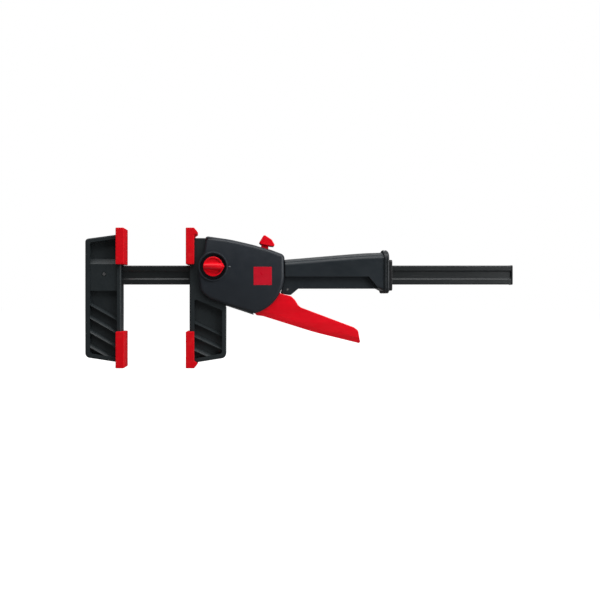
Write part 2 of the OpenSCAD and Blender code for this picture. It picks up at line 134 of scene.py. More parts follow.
def round_edge(w0, w1, r, steps=4):
    """[(place, inset)] from w0 to w1 for a solid whose two ends have edges of radius r."""
    near = []
    for i in range(steps + 1):
        t = math.pi / 2 * i / steps
        near.append((w0 + r * (1 - math.cos(t)), r * (1 - math.sin(t))))
    return near + [(w0 + w1 - w, d) for w, d in reversed(near)]


# ---- Meshes ----

def place(x, y, z, origin):
    return origin + Vector((x, y, z)) * MM


def mesh_object(name, verts, faces):
    mesh = bpy.data.meshes.new(name)
    mesh.from_pydata(verts, [], faces)
    mesh.validate()
    bm = bmesh.new()
    bm.from_mesh(mesh)
    bmesh.ops.recalc_face_normals(bm, faces=bm.faces)
    bm.to_mesh(mesh)
    bm.free()
    obj = bpy.data.objects.new(name, mesh)
    bpy.context.scene.collection.objects.link(obj)
    return obj


def loft(name, rings):
    """Closed skin through equal rings of points."""
    n = len(rings[0])
    faces = [tuple(range(n)), tuple(range((len(rings) - 1) * n, len(rings) * n))]
    for k in range(len(rings) - 1):
        for i in range(n):
            j = (i + 1) % n
            faces.append((k * n + i, k * n + j, (k + 1) * n + j, (k + 1) * n + i))
    return mesh_object(name, [v for ring in rings for v in ring], faces)


def slab(name, outline, y0, y1, origin, r=0.0, steps=8):
    """Prism across the width, with its edges rounded to r."""
    profile = round_edge(y0, y1, r) if r else [(y0, 0), (y1, 0)]
    return loft(name, [[place(x, y, z, origin) for x, z in rounded(inset(outline, d), steps)]
                       for y, d in profile])


def bar(name, outline, x0, x1, origin, r=0.0, steps=8):
    """Prism along the rail, from an outline in Y and Z."""
    profile = round_edge(x0, x1, r) if r else [(x0, 0), (x1, 0)]
    return loft(name, [[place(x, y, z, origin) for y, z in rounded(inset(outline, d), steps)]
                       for x, d in profile])


def block(name, low, high, origin):
    return slab(name, rect(low[0], low[2], high[0], high[2], 0), low[1], high[1], origin)


def drum(name, at, y0, y1, radius, origin, r=0.0, sides=72):
    """Round prism across the width, at (x, z)."""
    circle = [(at[0] + radius * math.cos(2 * math.pi * i / sides),
               at[1] + radius * math.sin(2 * math.pi * i / sides), 0) for i in range(sides)]
    return slab(name, circle, y0, y1, origin, r)


def baked(obj):
    """Applies the object's modifiers to its mesh."""
    graph = bpy.context.evaluated_depsgraph_get()
    mesh = bpy.data.meshes.new_from_object(obj.evaluated_get(graph), depsgraph=graph)
    obj.modifiers.clear()
    old = obj.data
    obj.data = mesh
    bpy.data.meshes.remove(old)
    return obj


def combine(obj, others, operation):
    """Cuts, adds or intersects the others, which are used up."""
    for other in others:
        mod = obj.modifiers.new("cut", "BOOLEAN")
        mod.operation = operation
        mod.solver = "EXACT"
        mod.object = other
        baked(obj)
        bpy.data.objects.remove(other)
    return obj


def cut(obj, *others):
    return combine(obj, others, "DIFFERENCE")


def add(obj, *others):
    return combine(obj, others, "UNION")


def keep_inside(obj, other):
    return combine(obj, [other], "INTERSECT")


def soften(obj, width, segments=2, angle=32):
    mod = obj.modifiers.new("edges", "BEVEL")
    mod.width = width * MM
    mod.segments = segments
    mod.limit_method = "ANGLE"
    mod.angle_limit = math.radians(angle)
    mod.use_clamp_overlap = True
    mod.miter_outer = "MITER_ARC"
    return baked(obj)


def finish_piece(obj, body, material, nodes=(), bevel=0.25, smooth=38):
    """Rounds the last sharp edges, shades the piece and ties it to the frame."""
    if bevel:
        soften(obj, bevel)
    mesh = obj.data
    mesh.materials.clear()
    mesh.materials.append(material)
    for poly in mesh.polygons:
        poly.use_smooth = True
    mesh.set_sharp_from_angle(angle=math.radians(smooth))
    mod = obj.modifiers.new("normals", "WEIGHTED_NORMAL")
    mod.keep_sharp = True
    mod.weight = 60
    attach(obj, body)
    if nodes:
        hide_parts(*nodes)
    return obj


# ---- Materials ----

class Look:
    """A Principled material and short ways to feed it."""

    def __init__(self, name, colour, roughness, **sockets):
        self.material = bpy.data.materials.new(name)
        self.material.use_nodes = True
        self.nodes = self.material.node_tree.nodes
        self.links = self.material.node_tree.links
        self.shader = self.nodes["Principled BSDF"]
        self.shader.inputs["Base Color"].default_value = (*colour, 1)
        self.shader.inputs["Roughness"].default_value = roughness
        for socket, value in sockets.items():
            self.shader.inputs[socket.replace("_", " ")].default_value = value
        self.place = self.nodes.new("ShaderNodeTexCoord").outputs["Object"]
        self.bump = None

    def stretched(self, scale):
        node = self.nodes.new("ShaderNodeMapping")
        node.inputs["Scale"].default_value = scale
        self.links.new(self.place, node.inputs["Vector"])
        return node.outputs["Vector"]

    def noise(self, size_mm, detail=3.0, stretch=None):
        """Noise whose features are about size_mm across."""
        node = self.nodes.new("ShaderNodeTexNoise")
        node.inputs["Scale"].default_value = 1 / (size_mm * MM)
        node.inputs["Detail"].default_value = detail
        self.links.new(self.stretched(stretch) if stretch else self.place, node.inputs["Vector"])
        return node.outputs["Fac"]

    def cells(self, size_mm):
        node = self.nodes.new("ShaderNodeTexVoronoi")
        node.feature = "SMOOTH_F1"
        node.inputs["Scale"].default_value = 1 / (size_mm * MM)
        self.links.new(self.place, node.inputs["Vector"])
        return node.outputs["Distance"]

    def remap(self, value, low, high, to_low, to_high):
        node = self.nodes.new("ShaderNodeMapRange")
        for socket, number in zip(("From Min", "From Max", "To Min", "To Max"), (low, high, to_low, to_high)):
            node.inputs[socket].default_value = number
        self.links.new(value, node.inputs["Value"])
        return node.outputs["Result"]

    def mix_colour(self, factor, first, second):
        node = self.nodes.new("ShaderNodeMix")
        node.data_type = "RGBA"
        for socket, value in ((node.inputs[6], first), (node.inputs[7], second)):
            if isinstance(value, tuple):
                socket.default_value = (*value, 1)
            else:
                self.links.new(value, socket)
        self.links.new(factor, node.inputs[0])
        return node.outputs[2]

    def colour(self, value):
        self.links.new(value, self.shader.inputs["Base Color"])

    def roughness(self, value):
        self.links.new(value, self.shader.inputs["Roughness"])

    def relief(self, height, depth_mm, strength=1.0):
        node = self.nodes.new("ShaderNodeBump")
        node.inputs["Distance"].default_value = depth_mm * MM
        node.inputs["Strength"].default_value = strength
        self.links.new(height, node.inputs["Height"])
        if self.bump:
            self.links.new(self.bump, node.inputs["Normal"])
        self.bump = node.outputs["Normal"]
        self.links.new(self.bump, self.shader.inputs["Normal"])


def moulded_plastic(name, colour, worn, roughness, grain_mm, grain_depth, specular=0.28):
    """Spark-textured moulding: fine grain, cloudy gloss and faint pale scuffs."""
    look = Look(name, colour, roughness, Specular_IOR_Level=specular)
    cloud = look.noise(22, 4)
    speck = look.noise(0.5, 2)
    base = look.mix_colour(look.remap(cloud, 0.35, 0.65, 0, 1), colour, tuple(c * 1.1 for c in colour))
    rubbed = look.remap(look.noise(2.5, 6, stretch=(1, 1, 0.3)), 0.66, 0.8, 0, 0.35)
    look.colour(look.mix_colour(rubbed, base, worn))
    look.roughness(look.remap(look.noise(9, 5), 0.3, 0.7, roughness - 0.05, roughness + 0.07))
    look.relief(look.cells(grain_mm), grain_depth, 0.7)
    look.relief(speck, grain_depth * 0.7, 0.5)
    return look.material


def red_moulding(name, colour, roughness, sink_mm, coat):
    """Gloss-moulded red plastic: slow surface waves, faint flow streaks and soft scuffs."""
    look = Look(name, colour, roughness, Specular_IOR_Level=0.22, Coat_Weight=coat, Coat_Roughness=0.25)
    deep = (colour[0] * 0.86, colour[1] * 0.8, colour[2] * 0.8)
    flow = look.noise(14, 3, stretch=(0.35, 1, 1.6))
    rubbed = look.remap(look.noise(3, 6), 0.66, 0.8, 0, 0.3)
    base = look.mix_colour(look.remap(flow, 0.35, 0.65, 0, 1), deep, colour)
    look.colour(look.mix_colour(rubbed, base, (0.80, 0.12, 0.09)))
    look.roughness(look.remap(look.noise(5, 5), 0.3, 0.7, roughness - 0.05, roughness + 0.08))
    look.relief(look.noise(sink_mm, 2), 0.05, 0.35)
    look.relief(look.noise(0.6, 2), 0.01, 0.4)
    return look.material


def soft_pad_rubber(name, colour):
    """Matt soft pad: fine pebble grain and pale clamping marks."""
    look = Look(name, colour, 0.62, Specular_IOR_Level=0.12)
    marks = look.remap(look.noise(7, 6, stretch=(1, 0.5, 1)), 0.55, 0.75, 0, 0.35)
    cloud = look.mix_colour(look.remap(look.noise(18, 3), 0.35, 0.65, 0, 1), colour,
                            (colour[0] * 0.88, colour[1], colour[2]))
    look.colour(look.mix_colour(marks, cloud, (colour[0] * 1.05, 0.035, 0.03)))
    look.roughness(look.remap(look.noise(3, 5), 0.3, 0.7, 0.54, 0.7))
    look.relief(look.cells(0.9), 0.02, 0.5)
    look.relief(look.noise(0.3, 2), 0.012, 0.5)
    return look.material


def drawn_steel(name, colour, bright, roughness, metallic):
    """Drawn steel: fine streaks along X, cloudy oxide and a few rubbed scratches."""
    look = Look(name, colour, roughness, Metallic=metallic)
    streak = look.noise(1.2, 5, stretch=(0.03, 1, 1))
    cloud = look.noise(12, 4, stretch=(0.3, 1, 1))
    oxide = look.mix_colour(look.remap(cloud, 0.35, 0.65, 0, 1), colour, tuple(c * 1.2 for c in colour))
    rubbed = look.remap(look.noise(1.5, 5, stretch=(0.05, 1, 1)), 0.66, 0.8, 0, 0.25)
    look.colour(look.mix_colour(rubbed, oxide, bright))
    look.roughness(look.remap(streak, 0.3, 0.7, roughness - 0.04, roughness + 0.05))
    look.relief(streak, 0.004, 0.3)
    look.relief(look.noise(0.4, 2), 0.006, 0.4)
    return look.material


def turned_steel(name, colour, roughness):
    """Plain bright or hardened steel with fine machining marks."""
    look = Look(name, colour, roughness, Metallic=1.0)
    marks = look.noise(0.8, 4, stretch=(1, 0.08, 1))
    look.colour(look.mix_colour(look.remap(look.noise(4, 4), 0.3, 0.7, 0, 1), colour,
                                tuple(c * 0.8 for c in colour)))
    look.roughness(look.remap(marks, 0.3, 0.7, roughness - 0.06, roughness + 0.08))
    look.relief(marks, 0.008, 0.5)
    return look.material


JAW_PLASTIC = moulded_plastic("jaw_plastic", (0.0135, 0.0175, 0.0195), (0.035, 0.04, 0.045), 0.42, 0.55, 0.02)
COVER_PLASTIC = moulded_plastic("cover_plastic", (0.0125, 0.0160, 0.0210), (0.05, 0.055, 0.065), 0.44, 0.45,
                                0.012)
HANDLE_PLASTIC = moulded_plastic("handle_plastic", (0.0115, 0.0155, 0.019), (0.055, 0.06, 0.068), 0.40, 0.5,
                                 0.012)
COLLAR_PLASTIC = moulded_plastic("collar_plastic", (0.0115, 0.014, 0.016), (0.05, 0.055, 0.06), 0.36, 0.5,
                                 0.01)
GUIDE_PLASTIC = moulded_plastic("guide_plastic", (0.010, 0.0105, 0.0115), (0.04, 0.04, 0.045), 0.4, 0.6, 0.01)
PAD_RUBBER = soft_pad_rubber("red_pad", (0.66, 0.0004, 0.006))
RED_PLASTIC = red_moulding("red_plastic", (0.74, 0.0006, 0.010), 0.36, 9, 0.04)
LABEL_RED = red_moulding("label_red", (0.52, 0.0060, 0.020), 0.32, 20, 0.05)
RAIL_STEEL = drawn_steel("rail_steel", (0.0075, 0.0095, 0.0105), (0.16, 0.16, 0.17), 0.36, 0.15)
BRIGHT_STEEL = turned_steel("bright_steel", (0.66, 0.66, 0.67), 0.25)
HARD_STEEL = turned_steel("hard_steel", (0.27, 0.28, 0.30), 0.34)
SPRING_STEEL = turned_steel("spring_steel", (0.42, 0.42, 0.44), 0.28)
SCREW_STEEL = turned_steel("screw_steel", (0.16, 0.16, 0.175), 0.38)
MARK_GREY = moulded_plastic("mark_grey", (0.16, 0.165, 0.17), (0.3, 0.3, 0.3), 0.4, 0.5, 0.01)


# ---- Fixed arm ----

FIXED_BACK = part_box("fixed_jaw")[0][0] / MM
FIXED_FRONT = -3.5
FIXED_JAW = [(FIXED_FRONT, -89.5, 0.6), (FIXED_FRONT, 41.6, 0.6),
             (FIXED_BACK, 36.6, 3.5), (FIXED_BACK, -84, 5)]
WEB = 5.0                # half thickness of the jaws' webs
RIB_FACE = 9.4           # how far the ribs' lower edges stand out


def ribs(name, recess, starts, heights, slope, origin):
    """Louvres whose faces tip outwards as they go down, trimmed to the recess they stand in."""
    out = []
    tilt = math.radians(slope)
    for i, ((x0, z0), height) in enumerate(zip(starts, heights)):
        for side in (-1, 1):
            steps = 5
            profile = [(WEB - 0.6, 1.2), (WEB - 0.6, -height)]
            profile += [(WEB + (RIB_FACE - WEB) * (1 - t / steps) ** 0.8, -height * (1 - t / steps) ** 1.15)
                        for t in range(steps + 1)]
            rings = []
            for along in (-6, 46):
                rings.append([place(x0 + along * math.cos(tilt) - z * math.sin(tilt), side * y,
                                    z0 - along * math.sin(tilt) + z * math.cos(tilt), origin)
                              for y, z in profile])
            rib = loft(f"{name}_rib_{i}_{side}", rings)
            out.append(keep_inside(rib, slab("trim", recess, -HALF_JAW, HALF_JAW, origin)))
    return out


def fixed_jaw():
    left = FIXED_BACK + 4.7
    right = -7.5
    recess = [(right, -84.6, 1.5), (right, 36.8, 1.5), (left, 33, 2.5), (left, -80, 3)]
    boss = 9.6
    jaw = slab("fixed_jaw_moulding", FIXED_JAW, -HALF_JAW, HALF_JAW, RAIL, r=1.4)
    for side in (-1, 1):
        cut(jaw, slab("pocket", recess, *sorted((side * WEB, side * (HALF_JAW + 1))), RAIL))
    section = [(boss, -16.2, 0), (boss, 11, 0), (WEB - 1, 17.5, 0), (1 - WEB, 17.5, 0), (-boss, 11, 0),
               (-boss, -16.2, 0)]
    add(jaw, bar("boss", section, left - 0.5, right + 0.5, RAIL))
    starts = [(left, -28.1), (left, -41), (left, -55.3), (left, -70)]
    add(jaw, *ribs("fixed", recess, starts, (4.6, 5.8, 6.2, 6.6), 29.5, RAIL))
    low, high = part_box("rail")
    fit = 0.1
    half = high[1] / MM + fit
    bottom, top = low[2] / MM - RAIL.z / MM - fit, high[2] / MM - RAIL.z / MM + fit
    cut(jaw, block("socket", (low[0] / MM, -half, bottom), (1, half, top), RAIL))
    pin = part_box("fixed_jaw_pin")
    at = ((pin[0][0] + pin[1][0]) / 2 / MM, ((pin[0][2] + pin[1][2]) / 2 - RAIL.z) / MM)
    cut(jaw, drum("countersink", at, -20, -boss + 0.3, 2.3, RAIL),
        drum("countersink", at, boss - 0.3, 20, 2.3, RAIL))
    finish_piece(jaw, "fixed_arm", JAW_PLASTIC, ["fixed_jaw"], bevel=0.35)


def pad(name, outline, jaw_outline, origin, body):
    """Soft pad that wraps the jaw's front edge."""
    piece = slab(name + "_moulding", outline, -HALF_PAD, HALF_PAD, origin, r=0.7)
    cut(piece, slab("pocket", jaw_outline, -HALF_JAW, HALF_JAW, origin))
    finish_piece(piece, body, PAD_RUBBER, [name], bevel=0.3)


def fixed_pads():
    for name in ("fixed_upper_pad", "fixed_lower_pad"):
        low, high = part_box(name)
        outline = rect(low[0] / MM, (low[2] - RAIL.z) / MM, 0, (high[2] - RAIL.z) / MM, 0.8)
        pad(name, outline, FIXED_JAW, RAIL, "fixed_arm")


# ---- Sliding jaw ----

FRONT = (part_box("moving_upper_pad")[0][0] - PIVOT.x) / MM       # the moving pads' plane, from the pivot
JAW_FRONT = (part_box("moving_jaw")[0][0] - PIVOT.x) / MM
CHASSIS_REAR = (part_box("moving_jaw")[1][0] - PIVOT.x) / MM
MOVING_JAW = [(CHASSIS_REAR, 30, 1), (-36, 35.3, 0), (-38, 37.5, 0), (JAW_FRONT, 37.5, 0.8),
              (JAW_FRONT, -90.3, 0.6), (-17.4, -84.4, 5), (-17.4, -33, 0),
              (-17.8, -32.4, 0), (-17.8, -28.6, 0),
              (CHASSIS_REAR, -28, 0.5)]


def moving_jaw():
    left = JAW_FRONT + 5
    right = -21.5
    recess = [(left, -85.3, 1), (right, -80.2, 2.5), (right, -36, 1.5), (left, -24.5, 1.5)]
    jaw = slab("moving_jaw_moulding", MOVING_JAW, -HALF_JAW, HALF_JAW, PIVOT, r=1.2)
    for side in (-1, 1):
        cut(jaw, slab("pocket", recess, *sorted((side * WEB, side * (HALF_JAW + 1))), PIVOT))
    starts = [(left, -47), (left, -60), (left, -73.3)]
    add(jaw, *ribs("moving", recess, starts, (3.4, 4.8, 5.6), 25, PIVOT))
    guide_low, guide_high = [(Vector(c) - PIVOT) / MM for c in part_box("front_rail_guide")]
    cut(jaw, block("guide_seat", guide_low - Vector((1, 0, 0)), guide_high, PIVOT),
        block("passage", (JAW_FRONT - 1, -5.3, -10.3), (CHASSIS_REAR + 1, 5.3, 10.3), PIVOT),
        block("shift_pocket", (KNOB[0] - 11.5, -HALF_JAW - 1, KNOB[1] - 5.3),
              (KNOB[0] + 11.5, -6.5, KNOB[1] + 5.3), PIVOT))
    finish_piece(jaw, "carriage", JAW_PLASTIC, ["moving_jaw"], bevel=0.35)


def moving_pads():
    lip = FRONT + 11
    back = FRONT + 8.5
    for name, sign in (("moving_upper_pad", 1), ("moving_lower_pad", -1)):
        low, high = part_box(name)
        z_in = ((high if sign < 0 else low)[2] - PIVOT.z) / MM
        z_out = ((low if sign < 0 else high)[2] - PIVOT.z) / MM
        outline = [(FRONT, z_in, 0.8), (back, z_in, 0.8), (back, z_out - sign * 7.6, 0.3),
                   (lip, z_out - sign * 5.8, 0.6), (lip, z_out - sign * 3, 0.6), (lip - 2.7, z_out, 0.6),
                   (FRONT, z_out, 0.8)]
        pad(name, outline if sign > 0 else outline[::-1], MOVING_JAW, PIVOT, "carriage")


# ---- Housing ----

ROUND_R = 42.7           # radius of the housing's round rear edge, about the pivot
TIP = math.radians(-74.6)
COVER = [(42.6, 20.8, 5.5), (26.1, 27, 120), (8.1, 31.7, 150), (-12.9, 36.6, 150), (-38.9, 40.3, 3),
         (-41.2, 22, 10), (-46.2, 12, 14), (-46.4, -4, 25), (-44.2, -18, 9),
         (-34.9, -25.5, 14), (-18.1, -31.4, 60),
         (ROUND_R * math.cos(TIP), ROUND_R * math.sin(TIP), 0.6)]
COVER += [(ROUND_R * math.cos(math.radians(a)), ROUND_R * math.sin(math.radians(a)), 0)
          for a in range(-68, 6, 3)]
WALL = 2.5
KNOB_FLOOR = 13.5
KNOB_RECESS = 13.4


def crown_drop(x, z):
    """How far the crowned face has fallen away at a place on the housing."""
    return z * z / 400 + x * x / 1100


def crowned(obj, sign):
    """Bends the housing's flat side into its crown, leaving the middle plane alone."""
    for v in obj.data.vertices:
        p = (v.co - PIVOT) / MM
        share = max(0.0, min(1.0, (abs(p.y) - 5) / 9))
        share = share * share * (3 - 2 * share)
        v.co.y -= sign * crown_drop(p.x, p.z) * share * MM
    return obj


def gridded(obj, step_mm=3.0):
    """Slices the mesh into a grid so that it can bend."""
    bm = bmesh.new()
    bm.from_mesh(obj.data)
    low = [min(v.co[i] for v in bm.verts) for i in range(3)]
    high = [max(v.co[i] for v in bm.verts) for i in range(3)]
    for axis, normal in ((0, Vector((1, 0, 0))), (2, Vector((0, 0, 1)))):
        count = int((high[axis] - low[axis]) / (step_mm * MM))
        for k in range(1, count + 1):
            point = Vector((0, 0, 0))
            point[axis] = low[axis] + k * step_mm * MM
            geom = bm.verts[:] + bm.edges[:] + bm.faces[:]
            bmesh.ops.bisect_plane(bm, geom=geom, plane_co=point, plane_no=normal)
    bm.to_mesh(obj.data)
    bm.free()
    return obj


def cover(sign, name, node):
    """One half of the housing; sign is -1 for the front."""
    edge = 3.2
    draft = 1.2
    rings = [(0.06, 0.25), (0.3, 0)]
    rings += [(HALF_HOUSING - edge + edge * math.sin(t), draft + edge * (1 - math.cos(t)))
              for t in [math.pi / 2 * i / 7 for i in range(8)]]
    skin = loft(name, [[place(x, sign * y, z, PIVOT) for x, z in rounded(inset(COVER, d))]
                       for y, d in rings])
    crowned(gridded(skin), sign)
    inner = HALF_HOUSING - WALL - 2.2
    span = sorted((0, sign * inner))
    hollow = slab("hollow", inset(COVER, WALL), *((span[0], 1) if sign < 0 else (-1, span[1])), PIVOT)
    arch = [(0, -1.3, 0), (15.9, -60, 0), (60, -60, 0), (60, -1.3, 0)]
    clear = HALF_LEVER + 0.6
    lever_gap = slab("lever_gap", arch, *((-clear, 1) if sign < 0 else (-1, clear)), PIVOT)
    cut(skin, hollow, lever_gap,
        slab("jaw_seat", MOVING_JAW, -HALF_JAW, HALF_JAW, PIVOT),
        block("handle_gap", (30, -9, -16), (50, 9, 12), PIVOT),
        slab("button_gap", rect(14.4, 20, 26.4, 45, 0.5), -5.4, 5.4, PIVOT))
    if sign < 0:
        ring = drum("knob_ring", KNOB, -HALF_HOUSING, -KNOB_FLOOR + 1.9, KNOB_RECESS + 1.5, PIVOT, r=0.6)
        keep_inside(ring, slab("trim", inset(COVER, -0.9), -HALF_HOUSING - 1, 0, PIVOT))
        add(skin, ring)
        cut(skin, drum("knob_well", KNOB, -HALF_HOUSING - 1, -KNOB_FLOOR, KNOB_RECESS, PIVOT),
            drum("shaft_bore", KNOB, -HALF_HOUSING, 0, 3.05, PIVOT, sides=40))
    else:
        for x, z in ((-30, 29.5), (5, 24.6), (34.2, 15.8), (-7, -26.5), (-30, -15)):
            boss = drum("boss", (x, z), HALF_JAW + 0.1, HALF_HOUSING - 2.6, 4.2, PIVOT, sides=40)
            add(skin, boss)
            cut(skin, drum("head_well", (x, z), HALF_HOUSING - 4.6, HALF_HOUSING + 1, 2.95, PIVOT, sides=40))
    finish_piece(skin, "carriage", COVER_PLASTIC, [node], bevel=0.3)


def on_crown(name, outline, thick, proud, material, nodes=()):
    """Thin piece laid on the housing's crowned front face."""
    patch = gridded(slab(name, outline, -HALF_HOUSING - proud, -HALF_HOUSING + thick, PIVOT, steps=4), 2.0)
    crowned(patch, -1)
    finish_piece(patch, "carriage", material, nodes, bevel=0.08)


def label_and_mark():
    low, high = [(Vector(c) - PIVOT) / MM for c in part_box("label_plate")]
    on_crown("label_inlay", rect(low.x, low.z, high.x, high.z, 0.5), 0.4, 0.1, LABEL_RED,
             ["label_plate"])
    tip, tail = KNOB[0] + 14.9, KNOB[0] + 17.7
    mark = [(tip, KNOB[1], 0.1), (tail, KNOB[1] - 0.7, 0.2), (tail, KNOB[1] + 0.7, 0.2)]
    on_crown("selector_mark", mark, 0.3, 0.12, MARK_GREY)


# ---- Handle ----

COLLAR_T = 5.6           # length of the collar at the handle's end
HANDLE_START = 36
HANDLE_END = (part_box("handle_front_shell")[1][0] - PIVOT.x) / MM
# Position along the rail, half width, top and bottom
HANDLE = [(HANDLE_START, 12.8, 16.5, -14), (59, 13.2, 18.3, -14), (90.5, 13.6, 20.9, -14),
          (122, 14, 23.3, -14), (137.9, 14.2, 23.9, -14), (HANDLE_END, 14.2, 24.1, -16.4)]
HALF_CORE = 9.3          # half thickness of the handle where the lever closes over it
HANDLE_SCREWS = [(62, 12.9), (96, 14), (130, 15)]


def handle_ring(x, w, top, bottom):
    corners = [(w, bottom, 3), (w, top - 5, 5), (0, top, 16), (-w, top - 5, 5), (-w, bottom, 3)]
    return [place(x, y, z, PIVOT) for y, z in rounded(corners, 10)]


def handle_body():
    rings = []
    for k in range(len(HANDLE) - 1):
        before, a, b, after = (HANDLE[max(0, min(len(HANDLE) - 1, i))] for i in (k - 1, k, k + 1, k + 2))
        steps = 5
        for i in range(steps if k < len(HANDLE) - 2 else steps + 1):
            t = i / steps
            values = [a[0] + (b[0] - a[0]) * t]
            for c in (1, 2):
                rise = ((b[c] - before[c]) / (b[0] - before[0] or 1),
                        (after[c] - a[c]) / (after[0] - a[0] or 1))
                run = b[0] - a[0]
                values.append((2 * t ** 3 - 3 * t * t + 1) * a[c] + (t ** 3 - 2 * t * t + t) * run * rise[0]
                              + (3 * t * t - 2 * t ** 3) * b[c] + (t ** 3 - t * t) * run * rise[1])
            values.append(a[3] + (b[3] - a[3]) * t)
            rings.append(handle_ring(*values))
    body = loft("handle_body", rings)
    flank = [(20, -30, 0), (137.9, -30, 0), (137.9, -14.5, 0), (127.4, -1.8, 0), (20, -1.8, 0)]
    for side in (-1, 1):
        cut(body, slab("flank", flank, *sorted((side * HALF_CORE, side * 20)), PIVOT))
    lug = [(38, -10, 0), (39, -19.1, 2), (48.5, -20.6, 2), (56.4, -13.9, 1.5), (60, -10, 0)]
    add(body, slab("lug", lug, -HALF_CORE, HALF_CORE, PIVOT, r=0.6))
    cut(body, slab("cover_room", inset(COVER, -0.05), -20, 20, PIVOT),
        block("cavity", (30, 2 - HALF_CORE, -11.4), (HANDLE_END + 1, HALF_CORE - 2, 10.4), PIVOT))
    tenon = block("tenon", (34, 0.3 - HALF_CORE, -15), (43, HALF_CORE - 0.3, 12), PIVOT)
    cut(tenon, block("window", (33, -5.35, -10.35), (44, 5.35, 10.35), PIVOT))
    return add(body, tenon)


def handle_shells():
    whole = handle_body()
    low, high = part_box("handle_pin")
    pin = ((low + high) / 2 - PIVOT) / MM
    for sign, name, node in ((-1, "handle_front_moulding", "handle_front_shell"),
                             (1, "handle_rear_moulding", "handle_rear_shell")):
        shell = whole.copy()
        shell.data = whole.data.copy()
        shell.name = name
        bpy.context.scene.collection.objects.link(shell)
        span = sorted((sign * 0.04, sign * 30))
        keep_inside(shell, block("half", (0, span[0], -40), (200, span[1], 40), PIVOT))
        cut(shell, drum("pin_bore", (pin.x, pin.z), -20, 20, 1.2, PIVOT, sides=32),
            block("bush_seat", (HANDLE_END - 5, -7.5, -12.3), (HANDLE_END + 1, 7.5, 12.3), PIVOT))
        if sign > 0:
            for x, z in HANDLE_SCREWS:
                cut(shell, drum("head_well", (x, z), 7, 20, 2.35, PIVOT, sides=36))
        finish_piece(shell, "carriage", HANDLE_PLASTIC, [node], bevel=0.45, smooth=32)
    bpy.data.objects.remove(whole)


def collar():
    outline = [(15.5, -18.9, 5), (15.5, 22, 8), (0, 26.4, 22), (-15.5, 22, 8), (-15.5, -18.9, 5)]
    steps = [(0, 1.1), (0.35, 0.4), (1, 0), (4.3, 0), (4.9, 0.25), (5.3, 0.8), (COLLAR_T, 1.6)]
    ring = loft("collar_moulding", [[place(HANDLE_END + x, y, z, PIVOT)
                                     for y, z in rounded(inset(outline, d), 10)] for x, d in steps])
    groove = bar("groove_out", inset(outline, -3), HANDLE_END + 2.2, HANDLE_END + 3.3, PIVOT)
    cut(groove, bar("groove_in", inset(outline, 0.45), HANDLE_END + 2, HANDLE_END + 5, PIVOT))
    cut(ring, groove, block("bush_bore", (HANDLE_END - 1, -7.5, -12.3), (HANDLE_END + 8, 7.5, 12.3), PIVOT))
    finish_piece(ring, "carriage", COLLAR_PLASTIC, ["handle_collar"], bevel=0.2)


def bush():
    """Flanged guide in the handle's end, with a sleeve and a window for the rail."""
    face = HANDLE_END + COLLAR_T
    end = (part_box("rail_guide_bush")[1][0] - PIVOT.x) / MM
    piece = bar("bush_moulding", [(9, -16.1, 2.5), (9, 15.4, 2.5), (-9, 15.4, 2.5), (-9, -16.1, 2.5)],
                face, end, PIVOT, r=0.7)
    add(piece, block("sleeve", (HANDLE_END - 5, -7.5, -12.3), (face + 0.5, 7.5, 12.3), PIVOT))
    cut(piece, block("window", (HANDLE_END - 6, -5.05, -10.05), (end + 1, 5.05, 10.05), PIVOT))
    finish_piece(piece, "carriage", GUIDE_PLASTIC, ["rail_guide_bush"], bevel=0.3)


# ---- Lever ----

LEVER = [(5.2, 18.4, 5), (-5.2, 18.4, 5), (-8.5, 0, 12), (-5.2, -18.4, 6), (13.6, -41.2, 1),
         (20.2, -42, 8), (72, -58.3, 300), (119.2, -69.9, 1.5), (116.9, -56.6, 4),
         (112.7, -53.4, 5), (57, -32.5, 9),
         (52.4, -25.2, 7), (48.5, -21.6, 4), (38.6, -19.2, 0.6), (9.5, 3, 8)]
CREASE = 5.4             # height of the crease above the lever's lower edge
BELLY = 1.5              # how far the sides draw in below the crease


def lever():
    low, knee, far = Vector((20.2, -42)), Vector((72, -58.3)), Vector((119.2, -69.9))
    first, last = (knee - low).normalized(), (far - knee).normalized()
    stations = [(low - first * 16, first), (knee, (first + last).normalized()), (far + last * 10, last)]
    body = slab("lever_moulding", LEVER, -HALF_LEVER, HALF_LEVER, PIVOT, r=0.9, steps=10)
    for side in (-1, 1):
        section = [(HALF_LEVER + 0.01, CREASE), (HALF_LEVER - BELLY * 0.55, CREASE * 0.42),
                   (HALF_LEVER - BELLY, -2),
                   (HALF_LEVER + 3, -2), (HALF_LEVER + 3, CREASE)]
        rings = [[place(at.x - run.y * h, side * y, at.y + run.x * h, PIVOT) for y, h in section]
                 for at, run in stations]
        cut(body, loft("belly", rings))
    channel = [(-30, 60, 0), (-30, -60, 0), (15.5, -60, 0), (15.5, -37.4, 0.5),
               (21, -39.2, 4), (72, -55.4, 0), (130, -69.7, 0),
               (130, 60, 0)]
    half_channel = 9.6
    cut(body, slab("channel", channel, -half_channel, half_channel, PIVOT),
        drum("pivot_bore", (0, 0), -20, 20, 3.05, PIVOT, sides=48),
        *[drum("drive_bore", (0, side * 13), -20, 20, 2, PIVOT, sides=36) for side in (-1, 1)])
    finish_piece(body, "lever", RED_PLASTIC, ["lever"], bevel=0.4)


# ---- Release button ----

BUTTON = [(17.9, 31.3, 0.8), (27, 29.5, 0.8), (31.3, 29, 0.9), (32.2, 31, 1), (29.2, 36.2, 1.8),
          (21.3, 41.4, 1.8), (16.2, 32.9, 1.1)]


